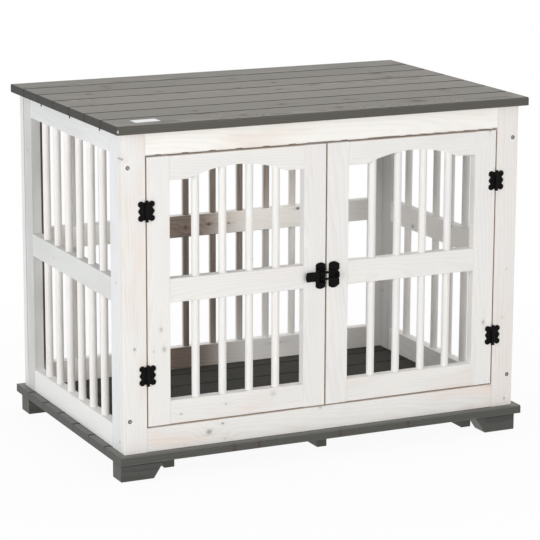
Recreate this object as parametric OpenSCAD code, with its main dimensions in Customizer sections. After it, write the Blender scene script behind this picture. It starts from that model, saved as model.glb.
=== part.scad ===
// Wooden dog cage with two arched doors, barred sides and a boarded top and base.
// The origin is on the floor at the middle of the cage. The doors face -Y and +Z is up.

/* [Slabs] */
// Length of the top and base slabs, side to side
slab_l = 855; // [780:5:1000]
// Depth of the slabs, front to back
slab_d = 570; // [500:5:680]
// Thickness of the slab boards
slab_t = 16; // [14:1:22]
// Width of a slab board on its face; the last one takes what is left
board_w = 82.5; // [70:0.5:100]
// How far a slab reaches past the frame at each side
side_reach = 13.5; // [8:0.5:24]
// How far a slab reaches past the frame at front and back
front_reach = 15; // [13:0.5:24]
// Depth of the V groove along each seam
seam_v = 2.4; // [0.8:0.2:2.6]
// Gap that is left between two boards
board_gap = 0.5; // [0.2:0.1:1]
// Length of a board's tongue
tongue_l = 5; // [4:0.5:7]
// Thickness of a board's tongue
tongue_t = 5; // [4:0.5:6]

/* [Frame] */
// Height of the frame between base and top
frame_h = 602; // [540:2:700]
// Thickness of the frame boards
board_t = 20; // [18:1:24]
// Width of the corner posts
post_w = 46; // [42:1:60]
// Width of the stiles in the side panels
side_stile_w = 40; // [36:1:60]
// Height of the head rails, under the top
head_h = 42; // [38:1:60]
// Height of the middle rails
mid_h = 45; // [38:1:60]
// Height of the sill rails, on the base
sill_h = 46; // [40:1:60]
// How far the middle rails sit above the middle of the doors
mid_up = 1.3; // [-40:0.1:40]
// Small chamfer along the edges of the boards
ease = 0.8; // [0.4:0.1:1.5]

/* [Joints in the wood] */
// Length of the stub tenons
tenon_l = 12; // [8:1:16]
// Thickness of the stub tenons
tenon_t = 8; // [6:0.5:10]
// Shoulder above and below a tenon
tenon_step = 8; // [5:1:11]
// Clearance all round a tenon, a dowel, a tongue or a screw
fit = 0.15; // [0.1:0.05:0.3]
// Clearance round a hinge pin, a rivet or the lever's rod
pin_fit = 0.08; // [0.02:0.02:0.1]

/* [Dowels] */
// Diameter of the dowel bars
dowel_d = 15; // [12:0.5:16]
// Depth of the dowel sockets
dowel_seat = 8; // [6:0.5:12]
// Dowels across a door
door_dowels = 4; // [3:1:5]
// Dowels across a side panel
side_dowels = 6; // [4:1:7]
// Dowels across the back
back_dowels = 11; // [8:1:13]

/* [Doors] */
// Width of the boards in a door
door_board_w = 45; // [40:1:56]
// Gap over the doors
gap_top = 4.5; // [3:0.5:8]
// Gap under the doors
gap_bottom = 3; // [2:0.5:8]
// Gap at the hinge side of a door
gap_hinge = 2.5; // [2:0.25:4]
// Gap between the two doors
gap_middle = 3; // [2.5:0.25:5]
// Rise of the arch in a door's top rail
arch_rise = 20; // [10:1:26]
// Radius of the arch
arch_r = 250; // [200:5:400]
// Radius where the arch runs out on its shoulders
arch_end_r = 24; // [10:1:40]
// Width of the stop block behind the head rail
stop_w = 46; // [30:1:60]
// How far the stop block hangs below the head rail
stop_drop = 16; // [10:1:30]

/* [Hinges] */
// Distance from a door's end to the middle of a hinge
hinge_end = 98.5; // [60:0.5:140]
// Height of the knuckles
hinge_h = 39.4; // [36:0.2:52]
// Diameter of the knuckles
knuckle_d = 6.4; // [5:0.2:7]
// Diameter of the hinge pin
pin_d = 3; // [2:0.2:3.6]
// Thickness of a hinge leaf
leaf_t = 1.5; // [1:0.1:2]
// Half the width of the open hinge, at its lobes
leaf_w = 16.4; // [15:0.1:22]
// Radius of the lobes at the corners
lobe_r = 5.8; // [5:0.1:6.6]
// Height of the point between the lobes, from root to root
point_h = 13.5; // [10:0.5:15]
// Depth of the notches beside that point
notch = 4.1; // [3:0.1:5]

/* [Latch] */
// Height of the latch and catch plates
plate_h = 51; // [46:1:60]
// Width of the latch and catch plates
plate_w = 19.6; // [18:0.1:22]
// Thickness of the plates
plate_t = 2; // [1.5:0.1:2.4]
// Radius of the plates' round ends
plate_r = 14; // [12:0.5:25]
// Height of the lever over its two walls
lever_h = 28; // [24:0.5:30]
// Thickness of the lever's metal
lever_t = 1.4; // [1:0.1:1.8]
// Length of the lever's body from its pivot to the root of its tab
tab_root = 15; // [14.5:0.5:18]
// Radius of the body's corners beside the tab
body_r = 5; // [2:0.5:6]
// Length of the lever from its pivot to the tip of its tab
lever_l = 40.5; // [34:0.5:46]
// Height of the lever's tab
tab_h = 18.6; // [14:0.2:22]
// Radius of the tab's rounded tip
tab_tip_r = 13; // [11.5:0.5:20]
// Diameter of the wire loop
wire_d = 4.4; // [3:0.2:4.6]
// Spacing of the loop's two arms
loop_w = 12.8; // [11.5:0.1:14]
// Distance from the lever's pivot to the loop's pivot
throw = 8; // [7:0.5:9.5]
// How far the latch sits above the middle of the doors
latch_up = 1; // [-40:1:40]

/* [Feet] */
// Height of the feet
foot_h = 36; // [28:1:60]
// Length of a foot at its top
foot_l = 90; // [80:1:92]
// Length of a foot at the floor
foot_toe = 66; // [50:1:78]
// Depth of a foot, front to back
foot_d = 40; // [34:1:60]
// How far a foot stands in from the ends of the base
foot_inset = 6; // [2:0.5:12]
// Width of the battens under the base
batten_w = 21; // [18:1:30]
// Thickness of the battens
batten_t = 23; // [16:1:26]
// How far the battens' ends stand in from the edge of the base
batten_inset = 28; // [20:1:60]
// Gap between a foot and the batten beside it
batten_gap = 2; // [1:0.5:8]

/* [Screws] */
// Head diameter of the frame screws
screw_head_d = 8; // [7:0.2:9]
// Shank diameter of the frame screws
screw_d = 4; // [3.4:0.1:4.6]
// Length of the frame screws
screw_l = 50; // [40:1:60]
// Distance of the frame screws from the ends of the posts
screw_end = 63; // [55:1:90]
// Head diameter of the small black screws
small_head_d = 5.4; // [4.6:0.1:6]
// Shank diameter of the small black screws
small_d = 2.8; // [2.2:0.1:3]
// Length of the small black screws
small_l = 14; // [10:1:16]
// Diameter of the pockets for the screws that hold the top
pocket_d = 7; // [6.6:0.2:8]
// Spacing of those screws along a side
pocket_pitch = 155; // [100:5:170]

/* [Hidden] */
$fn = 48;
eps = 0.01;
white_wash = [0.93, 0.92, 0.90];
grey_stain = [0.53, 0.52, 0.49];
dark_stain = [0.32, 0.32, 0.29];
iron = [0.07, 0.07, 0.07];
zinc = [0.70, 0.71, 0.72];

// Levels
base_z = foot_h;
floor_z = base_z + slab_t;
top_z = floor_z + frame_h;
head_z = top_z - head_h;

// Plan of the frame
body_w = slab_l - 2 * side_reach;
body_d = slab_d - 2 * front_reach;
inner_w = body_w - 2 * post_w;
post_x = (body_w - post_w) / 2;
side_x = (body_w - board_t) / 2;
front_y = -(body_d - board_t) / 2;
face_y = -body_d / 2;
side_l = body_d - 2 * board_t;
side_open = side_l - 2 * side_stile_w;
side_stile_y = (side_l - side_stile_w) / 2;
slab_boards = round(slab_d / board_w);

// Doors
door_w = (inner_w - 2 * gap_hinge - gap_middle) / 2;
door_x = (gap_middle + door_w) / 2;
door_z = floor_z + sill_h + gap_bottom;
door_top = head_z - gap_top;
door_open = door_w - 2 * door_board_w;
door_mid_z = (door_z + door_top - mid_h) / 2 + mid_up;
door_rail_z = door_top - door_board_w;
arch_half = sqrt(arch_r * arch_r - (arch_r - arch_rise) * (arch_r - arch_rise));
stop_clear = 0.4;

// Panels: the middle rails of sides and back line up with those of the doors
panel_mid_z = door_mid_z;
panel_low = floor_z + sill_h;

// Hinges: the pin lies in front of the wood, over the gap beside the door
hinge_x = inner_w / 2 - gap_hinge / 2;
hinge_out = knuckle_d / 2 + 0.2;
hinge_y = face_y - hinge_out;
knuckle_gap = 0.3;
knuckle_h = (hinge_h - 2 * knuckle_gap) / 3;
leaf_root = knuckle_d / 2 - 0.3;
lobe_x = leaf_w - lobe_r;
lobe_drop = 0.9;
lobe_z = hinge_h / 2 - lobe_drop - lobe_r;
leaf_h = 2 * lobe_z + lobe_r + 1.4;
pin_head_d = 4.6;
pin_head_h = 0.6;

// Latch, from the middle of the doors' front face
latch_z = (door_z + door_top) / 2 + latch_up;
pivot_in = 5;
pivot_x = -gap_middle / 2 - pivot_in;
pivot_play = 0.6;
lever_r = 3.8;
pivot_out = plate_t + lever_r + pivot_play;
rivet_d = 2.4;
rivet_head_d = 4;
rivet_head_h = 0.8;
ear_t = 1.2;
ear_gap = 0.3;
ear_z = lever_h / 2 - lever_t - ear_gap - ear_t;
ear_r = 2.6;
plate_edge = 1;
latch_plate_x = -gap_middle / 2 - plate_edge - plate_w / 2;
catch_in = 3.7;
catch_x = gap_middle / 2 + catch_in + plate_w / 2;
plate_screw_z = plate_h / 2 - 7;
loop_end = -0.5;
bow_start = 0.5;
rod_d = 2.6;
bridge_in = throw + wire_d / 2 + 2;
wall_taper = 3;
tab_curl_r = 29;
hook_w = 3.6;
hook_t = 1.4;
hook_r = wire_d / 2 + 0.45;
hook_end = -80;
bow_r = 4;
bow_x = catch_x + plate_w / 2 - 1.6;
hook_x = bow_x + 0.1;
lug_w = 2.4;
lug_h = 11.5;
lug_in = 4.8;

// Feet, battens and screws
batten_x = slab_l / 2 - foot_inset - foot_l - batten_gap - batten_w / 2;
screw_x = body_w / 2 - board_t / 2 - 1.5;
pocket_shift = -8;
pocket_drop = 6;
pocket_tilt = 45;
pocket_seat = 2.5;
pocket_l = 16;
sill_screw_y = side_open / 2 - 30;
batten_screw_l = batten_t + 9;
foot_recess = 12;
foot_screw_l = foot_h - foot_recess + 9;
slab_screw_l = 42;

// Place of dowel i of n, spread evenly over an opening of width w
function dowel_x(i, n, w) = -w / 2 + (i + 1) * w / (n + 1);

// Front edge of slab board i, and the back edge of the slab for i = slab_boards
function seam(i) = i < slab_boards ? i * board_w - slab_d / 2 : slab_d / 2;

// Height of the arch over its shoulders, at x from its middle
function arch_z(x) = abs(x) < arch_half ? sqrt(arch_r * arch_r - x * x) - arch_r + arch_rise : 0;

// Height of the middle of a hinge: k is 1 for the upper one and -1 for the lower one
function hinge_z(k) = k > 0 ? door_top - hinge_end : door_z + hinge_end;

// Section of a board with its four edges eased
module eased(w, h) {
  polygon([[-w / 2 + ease, -h / 2], [w / 2 - ease, -h / 2], [w / 2, -h / 2 + ease],
    [w / 2, h / 2 - ease], [w / 2 - ease, h / 2], [-w / 2 + ease, h / 2],
    [-w / 2, h / 2 - ease], [-w / 2, -h / 2 + ease]]);
}

// Upright board, w wide along X and t thick along Y
module upright(w, t, h) {
  linear_extrude(h) eased(w, t);
}

// Rail along X with its underside at height z and a stub tenon at each end
module rail(l, h, z) {
  translate([0, 0, z + h / 2]) {
    rotate([90, 0, 90]) linear_extrude(l, center = true) eased(board_t, h);
    cube([l + 2 * tenon_l, tenon_t, h - 2 * tenon_step], center = true);
  }
}

// What the tenons of such a rail cut out of the uprights beside it
module mortises(l, h, z) {
  translate([0, 0, z + h / 2])
    cube([l + 2 * (tenon_l + fit), tenon_t + 2 * fit, h - 2 * tenon_step + 2 * fit], center = true);
}

// Row of n dowels between a rail that ends at z0 and a rail that starts at z1
module dowel_row(n, w, z0, z1) {
  for (i = [0 : n - 1])
    translate([dowel_x(i, n, w), 0, z0 - dowel_seat])
      cylinder(d = dowel_d, h = z1 - z0 + 2 * dowel_seat);
}

// Sockets in the top edge of a rail, at height z: the dowels stand on their floors
module sockets_up(n, w, z) {
  for (i = [0 : n - 1])
    translate([dowel_x(i, n, w), 0, z - dowel_seat])
      cylinder(d = dowel_d + 2 * fit, h = dowel_seat + 1);
}

// Sockets in the underside of a rail, at height z
module sockets_down(n, w, z) {
  for (i = [0 : n - 1])
    translate([dowel_x(i, n, w), 0, z - 1])
      cylinder(d = dowel_d + 2 * fit, h = dowel_seat + 1 + fit);
}

// Countersunk screw along +Z, with the face of its head at z = 0 and a cross recess
module screw(head_d, d, l) {
  head_h = (head_d - d) / 2;
  difference() {
    union() {
      cylinder(d1 = head_d, d2 = d, h = head_h);
      cylinder(d = d, h = l - d);
      translate([0, 0, l - d]) cylinder(d1 = d, d2 = d / 4, h = d);
    }
    for (a = [0, 90])
      rotate(a) translate([-head_d / 4, -head_d / 20, -1]) cube([head_d / 2, head_d / 10, 1 + head_h / 2]);
  }
}

// Hole for such a screw
module screw_hole(head_d, d, l) {
  head_h = (head_d - d) / 2;
  translate([0, 0, -1]) cylinder(d = head_d + 2 * fit, h = 1);
  cylinder(d1 = head_d + 2 * fit, d2 = d + 2 * fit, h = head_h);
  cylinder(d = d + 2 * fit, h = l + fit);
}

// Places of the screws through the posts into the side panels
module at_frame_screws() {
  for (s = [-1, 1], f = [-1, 1], z = [floor_z + screw_end, top_z - screw_end])
    translate([s * screw_x, f * body_d / 2, z]) rotate([f * 90, 0, 0]) children();
}

// Places of the slanted screws through the side head rails into the top
module at_pockets() {
  for (s = [-1, 1], i = [-1 : 1])
    translate([s * body_w / 2, pocket_shift + i * pocket_pitch, top_z - pocket_drop])
      rotate([0, -s * pocket_tilt, 0]) translate([0, 0, pocket_seat]) children();
}

// Places of the screws up through the base into the side sill rails
module at_sill_screws() {
  for (s = [-1, 1], f = [-1, 1])
    translate([s * side_x, f * sill_screw_y, base_z]) children();
}

// Places of the screws that hold each base board to each batten
module at_batten_screws() {
  for (x = [-batten_x, 0, batten_x], i = [0 : slab_boards - 1])
    translate([x, (seam(i) + seam(i + 1)) / 2, base_z - batten_t]) children();
}

// Places of the screws up through the feet
module at_foot_screws() {
  for (s = [-1, 1], f = [-1, 1])
    translate([s * (slab_l / 2 - foot_inset - foot_toe / 2), f * (body_d / 2 - foot_d / 2), foot_recess])
      children();
}

// Places of the four hinges, seen so that the frame leaf points to -X
module at_hinges(s) {
  for (k = [-1, 1])
    translate([s * hinge_x, hinge_y, hinge_z(k)]) mirror([s > 0 ? 1 : 0, 0, 0]) children();
}

// Places of the screws in the leaf at +X of a hinge
module at_leaf_screws() {
  for (k = [-1, 1])
    translate([lobe_x, hinge_out - leaf_t, k * lobe_z]) rotate([-90, 0, 0]) children();
}

// Section of slab board i, from its front edge, with its groove in front and its tongue behind
module board_section(i) {
  w = seam(i + 1) - seam(i) - (i < slab_boards - 1 ? board_gap : 0);
  difference() {
    union() {
      polygon([[ease, 0], [w - ease, 0], [w, ease], [w, slab_t - seam_v], [w - seam_v, slab_t],
        [seam_v, slab_t], [0, slab_t - seam_v], [0, ease]]);
      if (i < slab_boards - 1)
        translate([w - 1, (slab_t - tongue_t) / 2]) square([tongue_l + 1, tongue_t]);
    }
    if (i > 0)
      translate([-1, (slab_t - tongue_t) / 2 - fit])
        square([tongue_l + 1 - board_gap + 2 * fit, tongue_t + 2 * fit]);
  }
}

// Slab board i, lying at height z
module slab_board(i, z) {
  translate([0, seam(i), z])
    rotate([90, 0, 90]) linear_extrude(slab_l, center = true) board_section(i);
}

// Boards a to b of the top, with the pilot holes of the slanted screws
module top_boards(a, b) {
  color(grey_stain) difference() {
    for (i = [a : b]) slab_board(i, top_z);
    at_pockets() screw_hole(small_head_d, small_d, pocket_l);
  }
}

// Boards a to b of the base, with the holes of the screws from below
module base_boards(a, b) {
  color(dark_stain) difference() {
    for (i = [a : b]) slab_board(i, base_z);
    at_sill_screws() screw_hole(screw_head_d, screw_d, slab_screw_l);
    at_batten_screws() screw_hole(screw_head_d, screw_d, batten_screw_l);
    at_foot_screws() screw_hole(screw_head_d, screw_d, foot_screw_l);
  }
}

// Three battens across the underside of the base
module base_battens() {
  batten_l = slab_d - 2 * batten_inset;
  color(dark_stain) difference() {
    for (x = [-batten_x, 0, batten_x])
      translate([x, 0, base_z - batten_t / 2])
        rotate([90, 0, 0]) linear_extrude(batten_l, center = true) eased(batten_w, batten_t);
    at_batten_screws() screw_hole(screw_head_d, screw_d, batten_screw_l);
  }
}

// Four feet, each a block whose inner end is sawn to a slant
module feet() {
  color(dark_stain) difference() {
    for (s = [-1, 1], f = [-1, 1])
      translate([s * (slab_l / 2 - foot_inset), f * (body_d / 2 - foot_d / 2), 0])
        mirror([s > 0 ? 1 : 0, 0, 0]) rotate([90, 0, 0]) linear_extrude(foot_d, center = true)
          polygon([[0, ease], [ease, 0], [foot_toe, 0], [foot_l, foot_h], [0, foot_h]]);
    at_foot_screws() screw_hole(screw_head_d, screw_d, foot_screw_l);
    at_foot_screws() translate([0, 0, -foot_recess - 1]) cylinder(d = screw_head_d + 2, h = foot_recess + 1);
  }
}

// Front corner post, with mortises and the holes of its screws
module front_post(s) {
  color(white_wash) difference() {
    translate([s * post_x, front_y, floor_z]) upright(post_w, board_t, frame_h);
    translate([0, front_y, 0]) {
      mortises(inner_w, head_h, head_z);
      mortises(inner_w, sill_h, floor_z);
    }
    at_frame_screws() screw_hole(screw_head_d, screw_d, screw_l);
    at_hinges(s) mirror([1, 0, 0]) at_leaf_screws() screw_hole(small_head_d, small_d, small_l);
  }
}

// Back corner post
module back_post(s) {
  color(white_wash) difference() {
    translate([s * post_x, -front_y, floor_z]) upright(post_w, board_t, frame_h);
    translate([0, -front_y, 0]) {
      mortises(inner_w, head_h, head_z);
      mortises(inner_w, mid_h, panel_mid_z);
      mortises(inner_w, sill_h, floor_z);
    }
    at_frame_screws() screw_hole(screw_head_d, screw_d, screw_l);
  }
}

// Rail over the doors
module front_head_rail() {
  color(white_wash) translate([0, front_y, 0]) rail(inner_w, head_h, head_z);
}

// Rail under the doors
module front_sill_rail() {
  color(white_wash) translate([0, front_y, 0]) rail(inner_w, sill_h, floor_z);
}

// Block behind the head rail that both doors close against
module door_stop() {
  stop_h = head_h + stop_drop;
  color(white_wash) translate([0, front_y + board_t / 2, head_z - stop_drop]) difference() {
    translate([0, board_t / 2, 0]) upright(stop_w, board_t, stop_h);
    translate([-stop_w, -stop_clear, -1]) cube([2 * stop_w, 2 * stop_clear, stop_drop + 1]);
  }
}

// Rail of the back panel, with the sockets that face its dowels
module back_rail(h, z, above, below) {
  color(white_wash) translate([0, -front_y, 0]) difference() {
    rail(inner_w, h, z);
    if (above) sockets_up(back_dowels, inner_w, z + h);
    if (below) sockets_down(back_dowels, inner_w, z);
  }
}

// All the dowels of the back panel
module back_dowels_all() {
  color(white_wash) translate([0, -front_y, 0]) {
    dowel_row(back_dowels, inner_w, panel_low, panel_mid_z);
    dowel_row(back_dowels, inner_w, panel_mid_z + mid_h, head_z);
  }
}

// Frame of a side panel: s is its side, and what it holds is drawn along X
module at_side(s) {
  translate([s * side_x, 0, 0]) rotate(90) children();
}

// Stile of a side panel: f is -1 for the front one and 1 for the back one
module side_stile(s, f) {
  color(white_wash) difference() {
    at_side(s) difference() {
      translate([f * side_stile_y, 0, floor_z]) upright(side_stile_w, board_t, frame_h);
      mortises(side_open, head_h, head_z);
      mortises(side_open, mid_h, panel_mid_z);
      mortises(side_open, sill_h, floor_z);
    }
    at_frame_screws() screw_hole(screw_head_d, screw_d, screw_l);
  }
}

// Head rail of a side panel, with the pockets of the slanted screws in its outer face
module side_head_rail(s) {
  color(white_wash) difference() {
    at_side(s) difference() {
      rail(side_open, head_h, head_z);
      sockets_down(side_dowels, side_open, head_z);
    }
    at_pockets() {
      screw_hole(small_head_d, small_d, pocket_l);
      translate([0, 0, -3 * pocket_seat]) cylinder(d = pocket_d, h = 3 * pocket_seat);
    }
  }
}

// Middle rail of a side panel
module side_mid_rail(s) {
  color(white_wash) at_side(s) difference() {
    rail(side_open, mid_h, panel_mid_z);
    sockets_up(side_dowels, side_open, panel_mid_z + mid_h);
    sockets_down(side_dowels, side_open, panel_mid_z);
  }
}

// Sill rail of a side panel, screwed to the base
module side_sill_rail(s) {
  color(white_wash) difference() {
    at_side(s) difference() {
      rail(side_open, sill_h, floor_z);
      sockets_up(side_dowels, side_open, panel_low);
    }
    at_sill_screws() screw_hole(screw_head_d, screw_d, slab_screw_l);
  }
}

// All the dowels of a side panel
module side_dowels_all(s) {
  color(white_wash) at_side(s) {
    dowel_row(side_dowels, side_open, panel_low, panel_mid_z);
    dowel_row(side_dowels, side_open, panel_mid_z + mid_h, head_z);
  }
}

// Door s in its place: -1 is the left one and 1 the right one
module at_door(s) {
  translate([s * door_x, front_y, 0]) children();
}

// Stile of door s: e is 1 at its hinges and -1 at the latch
module door_stile(s, e) {
  color(white_wash) difference() {
    at_door(s) difference() {
      translate([s * e * (door_w - door_board_w) / 2, 0, door_z])
        upright(door_board_w, board_t, door_top - door_z);
      mortises(door_open, door_board_w, door_z);
      mortises(door_open, mid_h, door_mid_z);
      mortises(door_open, door_board_w, door_rail_z);
    }
    at_hinges(s) at_leaf_screws() screw_hole(small_head_d, small_d, small_l);
    at_plate_screws(s) screw_hole(small_head_d, small_d, small_l);
  }
}

// The space under the arch, with its shoulders at height 0
module arch_space() {
  end_x = sqrt((arch_r + arch_end_r) * (arch_r + arch_end_r)
    - (arch_r - arch_rise + arch_end_r) * (arch_r - arch_rise + arch_end_r));
  intersection() {
    translate([0, arch_rise - arch_r]) circle(arch_r, $fn = 180);
    translate([-arch_r, -1]) square([2 * arch_r, arch_rise + 2]);
  }
  for (s = [-1, 1]) difference() {
    polygon([[s * arch_half * 0.8, -1], [s * end_x, -1], [s * end_x, 0], [s * end_x, arch_end_r],
      [s * end_x * arch_r / (arch_r + arch_end_r),
        arch_rise - arch_r + (arch_r - arch_rise + arch_end_r) * arch_r / (arch_r + arch_end_r)],
      [s * arch_half * 0.8, 0]]);
    translate([s * end_x, arch_end_r]) circle(arch_end_r, $fn = 96);
  }
}

// Arched top rail of a door
module door_arched_rail(s) {
  color(white_wash) at_door(s) difference() {
    rail(door_open, door_board_w, door_rail_z);
    translate([0, 0, door_rail_z]) rotate([90, 0, 0])
      linear_extrude(board_t + 2, center = true) arch_space();
    for (i = [0 : door_dowels - 1]) {
      x = dowel_x(i, door_dowels, door_open);
      translate([x, 0, door_rail_z - 1]) cylinder(d = dowel_d + 2 * fit, h = arch_z(x) + dowel_seat + 1 + fit);
    }
  }
}

// Middle rail of a door
module door_mid_rail(s) {
  color(white_wash) at_door(s) difference() {
    rail(door_open, mid_h, door_mid_z);
    sockets_up(door_dowels, door_open, door_mid_z + mid_h);
    sockets_down(door_dowels, door_open, door_mid_z);
  }
}

// Bottom rail of a door
module door_bottom_rail(s) {
  color(white_wash) at_door(s) difference() {
    rail(door_open, door_board_w, door_z);
    sockets_up(door_dowels, door_open, door_z + door_board_w);
  }
}

// Dowels of a door: the upper ones follow the arch
module door_dowels_all(s) {
  color(white_wash) at_door(s) {
    dowel_row(door_dowels, door_open, door_z + door_board_w, door_mid_z);
    for (i = [0 : door_dowels - 1]) {
      x = dowel_x(i, door_dowels, door_open);
      z = door_mid_z + mid_h - dowel_seat;
      translate([x, 0, z]) cylinder(d = dowel_d, h = door_rail_z + arch_z(x) + dowel_seat - z);
    }
  }
}

// Outline of a hinge leaf at +X: two round lobes with a point between them
module leaf_outline() {
  side_x = leaf_w - notch;
  translate([leaf_root, -leaf_h / 2]) square([lobe_x - leaf_root, leaf_h]);
  translate([leaf_root, -lobe_z]) square([side_x - leaf_root, 2 * lobe_z]);
  for (k = [-1, 1]) translate([lobe_x, k * lobe_z]) circle(lobe_r);
  polygon([[lobe_x, -point_h / 2], [side_x, -point_h / 2], [leaf_w, 0],
    [side_x, point_h / 2], [lobe_x, point_h / 2]]);
}

// Hinge leaf at +X, with a web and a knuckle for each height in the list
module leaf(heights) {
  difference() {
    union() {
      translate([0, hinge_out, 0]) rotate([90, 0, 0]) linear_extrude(leaf_t) leaf_outline();
      for (z = heights) translate([0, 0, z]) {
        cylinder(d = knuckle_d, h = knuckle_h, center = true);
        web_h = min(knuckle_h, leaf_h / 2 - abs(z) + knuckle_h / 2);
        translate([0, hinge_out - leaf_t, sign(-z) * (knuckle_h - web_h) / 2 - web_h / 2])
          cube([leaf_root + 1, leaf_t, web_h]);
      }
    }
    for (z = heights) translate([0, 0, z]) cylinder(d = pin_d + 2 * pin_fit, h = 2 * knuckle_h, center = true);
    at_leaf_screws() screw_hole(small_head_d, small_d, small_l);
  }
}

// Leaves on the post, each with an upper and a lower knuckle
module hinge_frame_leaves(s) {
  color(iron) at_hinges(s) mirror([1, 0, 0])
    leaf([-knuckle_h - knuckle_gap, knuckle_h + knuckle_gap]);
}

// Leaves on the door, each with the middle knuckle
module hinge_door_leaves(s) {
  color(iron) at_hinges(s) leaf([0]);
}

// Hinge pins with a low head at each end
module hinge_pins() {
  color(iron) for (s = [-1, 1]) at_hinges(s) {
    cylinder(d = pin_d, h = hinge_h, center = true);
    for (k = [0, 1]) mirror([0, 0, k]) translate([0, 0, hinge_h / 2])
      cylinder(d1 = pin_head_d, d2 = pin_d, h = pin_head_h);
  }
}

// Origin of the latch on the front face of the doors
module at_latch() {
  translate([0, face_y, latch_z]) children();
}

// Places of the screws in the latch plate, s = -1, and in the catch plate, s = 1
module at_plate_screws(s) {
  at_latch() for (k = [-1, 1])
    translate([s < 0 ? latch_plate_x : catch_x, -plate_t, k * plate_screw_z]) rotate([-90, 0, 0]) children();
}

// Plate with two round ends, its back on the door
module plate() {
  rotate([90, 0, 0]) linear_extrude(plate_t) intersection() {
    square([plate_w, plate_h], center = true);
    union() {
      square([plate_w, 2 * (plate_h / 2 - plate_r)], center = true);
      for (k = [-1, 1]) translate([0, k * (plate_h / 2 - plate_r)]) circle(plate_r);
    }
  }
}

// Latch plate on the left door, with two ears that carry the lever
module latch_plate() {
  color(iron) difference() {
    union() {
      at_latch() translate([latch_plate_x, 0, 0]) plate();
      at_latch() for (k = [-1, 1])
        translate([pivot_x, -pivot_out, k * (ear_z + ear_t / 2)]) linear_extrude(ear_t, center = true) {
          circle(ear_r);
          translate([-ear_r, 0]) square([2 * ear_r, pivot_out - plate_t / 2]);
        }
    }
    at_latch() translate([pivot_x, -pivot_out, 0]) cylinder(d = rivet_d + 2 * pin_fit, h = lever_h, center = true);
    at_plate_screws(-1) screw_hole(small_head_d, small_d, small_l);
  }
}

// Two rivets that the lever turns on
module latch_rivets() {
  rivet_l = lever_h / 2 + ear_gap - ear_z + ear_gap;
  color(iron) at_latch() translate([pivot_x, -pivot_out, 0])
    for (k = [0, 1]) mirror([0, 0, k]) translate([0, 0, ear_z - ear_gap]) {
      cylinder(d = rivet_d, h = rivet_l);
      translate([0, 0, rivet_l]) cylinder(d1 = rivet_head_d, d2 = rivet_d, h = rivet_head_h);
    }
}

// Front view of the lever's raised body, with its two round corners
module lever_body_front() {
  translate([-tab_root + body_r, -lever_h / 2]) square([tab_root - body_r + lever_r + 1, lever_h]);
  translate([-tab_root, -lever_h / 2 + body_r]) square([body_r + 1, lever_h - 2 * body_r]);
  for (k = [-1, 1]) translate([-tab_root + body_r, k * (lever_h / 2 - body_r)]) circle(body_r);
}

// Raised body of the lever: two walls, an end wall and a bridge in front of it
module lever_body() {
  intersection() {
    union() {
      for (k = [-1, 1]) translate([0, 0, k * (lever_h - lever_t) / 2]) linear_extrude(lever_t, center = true) {
        circle(ear_r);
        polygon([[-tab_root, -lever_r], [-wall_taper, -lever_r], [0, -ear_r],
          [0, ear_r], [-wall_taper, lever_r], [-tab_root, lever_r]]);
      }
      translate([-tab_root, -lever_r, -lever_h / 2]) cube([tab_root - bridge_in, lever_t, lever_h]);
      translate([-tab_root, -lever_r, -lever_h / 2]) cube([lever_t, 2 * lever_r, lever_h]);
    }
    rotate([90, 0, 0]) linear_extrude(4 * lever_r, center = true) lever_body_front();
  }
}

// Curled tab of the lever, with a rounded tip
module lever_tab() {
  mid_x = -(tab_root + lever_l) / 2;
  intersection() {
    translate([mid_x, -tab_curl_r - lever_t / 2, 0]) linear_extrude(tab_h, center = true) difference() {
      circle(tab_curl_r + lever_t, $fn = 96);
      circle(tab_curl_r, $fn = 96);
      translate([-2 * tab_curl_r, -2 * tab_curl_r]) square([4 * tab_curl_r, 2 * tab_curl_r]);
    }
    rotate([90, 0, 0]) linear_extrude(2 * lever_l, center = true) intersection() {
      translate([-lever_l, -tab_h / 2]) square([lever_l - tab_root + 1, tab_h]);
      union() {
        translate([tab_tip_r - lever_l, 0]) circle(tab_tip_r);
        translate([tab_tip_r - lever_l, -tab_h / 2]) square([lever_l, tab_h]);
      }
    }
  }
}

// Lever of the latch, which turns on the two rivets
module latch_lever() {
  color(iron) at_latch() translate([pivot_x, -pivot_out, 0]) difference() {
    union() {
      lever_body();
      lever_tab();
    }
    cylinder(d = rivet_d + 2 * pin_fit, h = 2 * lever_h, center = true);
    translate([-throw, 0, 0]) cylinder(d = rod_d + 2 * pin_fit, h = 2 * lever_h, center = true);
  }
}

// Wire loop on the lever: the rod that it turns on, and its two arms up to the gap between the doors
module latch_loop() {
  rod_l = lever_h - 2 * ear_gap;
  color(iron) at_latch() translate([0, -pivot_out, 0]) {
    translate([pivot_x - throw, 0, 0]) cylinder(d = rod_d, h = rod_l, center = true);
    for (k = [-1, 1]) translate([pivot_x - throw, 0, k * loop_w / 2]) {
      rotate([0, 90, 0]) cylinder(d = wire_d, h = loop_end - pivot_x + throw);
      cylinder(d = wire_d, h = wire_d, center = true);
    }
  }
}

// Closed end of the wire loop with its two bends, which lies in the hook of the catch
module latch_bow() {
  bend_x = bow_x - bow_r;
  bend_z = loop_w / 2 - bow_r;
  color(iron) at_latch() translate([0, -pivot_out, 0]) {
    translate([bow_x, 0, 0]) cylinder(d = wire_d, h = 2 * bend_z, center = true);
    for (k = [0, 1]) mirror([0, 0, k]) {
      translate([bow_start, 0, loop_w / 2]) rotate([0, 90, 0]) cylinder(d = wire_d, h = bend_x - bow_start);
      translate([bend_x, 0, bend_z]) rotate([90, 0, 0]) rotate_extrude(angle = 90)
        translate([bow_r, 0]) circle(d = wire_d);
    }
  }
}

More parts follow.
